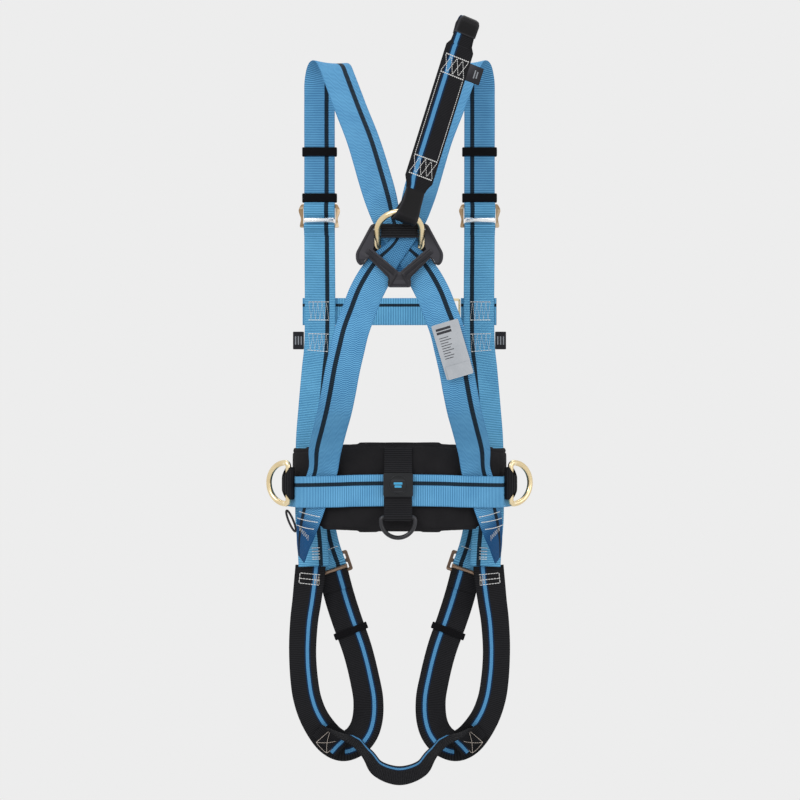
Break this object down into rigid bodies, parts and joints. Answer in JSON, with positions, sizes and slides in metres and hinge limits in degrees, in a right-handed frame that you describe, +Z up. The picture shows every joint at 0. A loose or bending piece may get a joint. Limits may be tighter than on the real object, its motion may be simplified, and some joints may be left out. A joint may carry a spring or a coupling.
{
  "type": "safety harness",
  "caption": "Full-body fall-arrest harness of striped webbing with a padded work-positioning belt, leg loops, back plate, attachment rings and an extension strap.",
  "frame": {"origin": "midway between the two shoulder bends, level with the underside of their webbing, where the harness hangs on the wearer", "axes": "+Z up the body, +Y towards the wearer's front, +X towards the wearer's right"},
  "size_m": [0.3826, 0.3165, 1.037],
  "materials": {
    "blue_webbing": "ribbed polyester webbing with a dark stripe",
    "black_webbing": "black polyester webbing",
    "pad_cloth": "black padded cloth",
    "black_plastic": "fine moulded grain",
    "gold_steel": "yellow zinc plated",
    "bronze_steel": "bronze plated",
    "dark_bronze": "dark bronze plated",
    "bright_steel": "bright plated",
    "dark_steel": "black coated",
    "label_film": "grey film"
  },
  "bodies": {
    "harness": {"shoulder_strap_left": "blue_webbing", "shoulder_strap_right": "blue_webbing", "front_strap_left": "blue_webbing", "front_strap_right": "blue_webbing", "chest_strap_left": "blue_webbing", "chest_strap_right": "blue_webbing", "buckle_strap_left": "blue_webbing", "buckle_strap_right": "blue_webbing", "belt_webbing": "blue_webbing", "leg_strap_left": "black_webbing", "leg_strap_right": "black_webbing", "sternal_loop_left": "black_webbing", "sternal_loop_right": "black_webbing", "sternal_tab_left": "black_webbing", "sternal_tab_right": "black_webbing", "side_ring_carrier_left": "black_webbing", "side_ring_carrier_right": "black_webbing", "sub_pelvic_strap": "black_webbing", "dorsal_bar_band": "black_webbing", "tool_loop_strap": "black_webbing", "gear_loop": "black_webbing", "back_pad": "pad_cloth", "dorsal_plate": "black_plastic", "tool_loop_keeper": "black_plastic", "chest_buckle_frame": "gold_steel", "belt_buckle_frame": "gold_steel", "adjuster_frame_left": "bronze_steel", "adjuster_frame_right": "bronze_steel", "leg_buckle_frame_left": "dark_bronze", "leg_buckle_frame_right": "dark_bronze", "id_label": "label_film"},
    "dorsal_ring": {"dorsal_d_ring": "gold_steel"},
    "extension": {"extension_strap": "black_webbing", "extension_lower_sleeve": "black_webbing", "extension_upper_sleeve": "black_webbing", "extension_tab": "black_webbing"},
    "side_ring_left": {"side_d_ring_left": "gold_steel"},
    "side_ring_right": {"side_d_ring_right": "gold_steel"},
    "tool_ring_body": {"tool_ring": "dark_steel"},
    "chest_bar": {"chest_buckle_bar": "gold_steel"},
    "belt_bar": {"belt_buckle_bar": "gold_steel"},
    "shoulder_adjuster_left": {"adjuster_bar_left": "bright_steel"},
    "leg_adjuster_left": {"leg_buckle_bar_left": "dark_bronze"},
    "upper_keeper_left": {"strap_keeper_upper_left": "black_webbing"},
    "lower_keeper_left": {"strap_keeper_lower_left": "black_webbing"},
    "thigh_keeper_left": {"leg_keeper_left": "black_webbing"},
    "shoulder_adjuster_right": {"adjuster_bar_right": "bright_steel"},
    "leg_adjuster_right": {"leg_buckle_bar_right": "dark_bronze"},
    "upper_keeper_right": {"strap_keeper_upper_right": "black_webbing"},
    "lower_keeper_right": {"strap_keeper_lower_right": "black_webbing"},
    "thigh_keeper_right": {"leg_keeper_right": "black_webbing"}
  },
  "joints": [
    {"name": "dorsal_ring_swing", "type": "hinge", "parent": "harness", "child": "dorsal_ring", "pos_m": [0, -0.1065, -0.28], "axis": [1, 0, 0], "range_deg": [0, 48]},
    {"name": "extension_swing", "type": "hinge", "parent": "dorsal_ring", "child": "extension", "pos_m": [0.01135, -0.14244, -0.24009], "axis": [0.9214, 0.26, -0.2888], "range_deg": [0, 60]},
    {"name": "side_ring_swing_left", "type": "hinge", "parent": "harness", "child": "side_ring_left", "pos_m": [-0.158, -0.0045, -0.6005], "axis": [0, 0, 1], "range_deg": [-32, 75]},
    {"name": "side_ring_swing_right", "type": "hinge", "parent": "harness", "child": "side_ring_right", "pos_m": [0.158, -0.0045, -0.6005], "axis": [0, 0, 1], "range_deg": [-75, 32]},
    {"name": "tool_ring_swing", "type": "hinge", "parent": "harness", "child": "tool_ring_body", "pos_m": [-0.002, -0.0555, -0.6435], "axis": [1, 0, 0], "range_deg": [-95, 8]},
    {"name": "chest_bar_tilt", "type": "hinge", "parent": "harness", "child": "chest_bar", "pos_m": [0.084, 0.0642, -0.3515], "axis": [0, 0, 1], "range_deg": [-50, 0]},
    {"name": "belt_bar_tilt", "type": "hinge", "parent": "harness", "child": "belt_bar", "pos_m": [0.032, 0.1596, -0.607], "axis": [0, 0, 1], "range_deg": [-60, 0]},
    {"name": "shoulder_adjuster_slide_left", "type": "slide", "parent": "harness", "child": "shoulder_adjuster_left", "axis": [0, 0, 1], "range_m": [-0.003, 0.003]},
    {"name": "leg_adjuster_slide_left", "type": "slide", "parent": "harness", "child": "leg_adjuster_left", "axis": [-0.3256, 0, 0.9455], "range_m": [-0.0025, 0.0025]},
    {"name": "upper_keeper_slide_left", "type": "slide", "parent": "harness", "child": "upper_keeper_left", "axis": [0, 0, 1], "range_m": [-0.02, 0.045]},
    {"name": "lower_keeper_slide_left", "type": "slide", "parent": "harness", "child": "lower_keeper_left", "axis": [0, 0, 1], "range_m": [0, 0.03]},
    {"name": "thigh_keeper_slide_left", "type": "slide", "parent": "harness", "child": "thigh_keeper_left", "axis": [-0.3599, 0.1706, 0.9172], "range_m": [-0.006, 0.006]},
    {"name": "shoulder_adjuster_slide_right", "type": "slide", "parent": "harness", "child": "shoulder_adjuster_right", "axis": [0, 0, 1], "range_m": [-0.003, 0.003]},
    {"name": "leg_adjuster_slide_right", "type": "slide", "parent": "harness", "child": "leg_adjuster_right", "axis": [0.3256, 0, 0.9455], "range_m": [-0.0025, 0.0025]},
    {"name": "upper_keeper_slide_right", "type": "slide", "parent": "harness", "child": "upper_keeper_right", "axis": [0, 0, 1], "range_m": [-0.02, 0.045]},
    {"name": "lower_keeper_slide_right", "type": "slide", "parent": "harness", "child": "lower_keeper_right", "axis": [0, 0, 1], "range_m": [0, 0.03]},
    {"name": "thigh_keeper_slide_right", "type": "slide", "parent": "harness", "child": "thigh_keeper_right", "axis": [0.3599, 0.1706, 0.9172], "range_m": [-0.006, 0.006]}
  ]
}
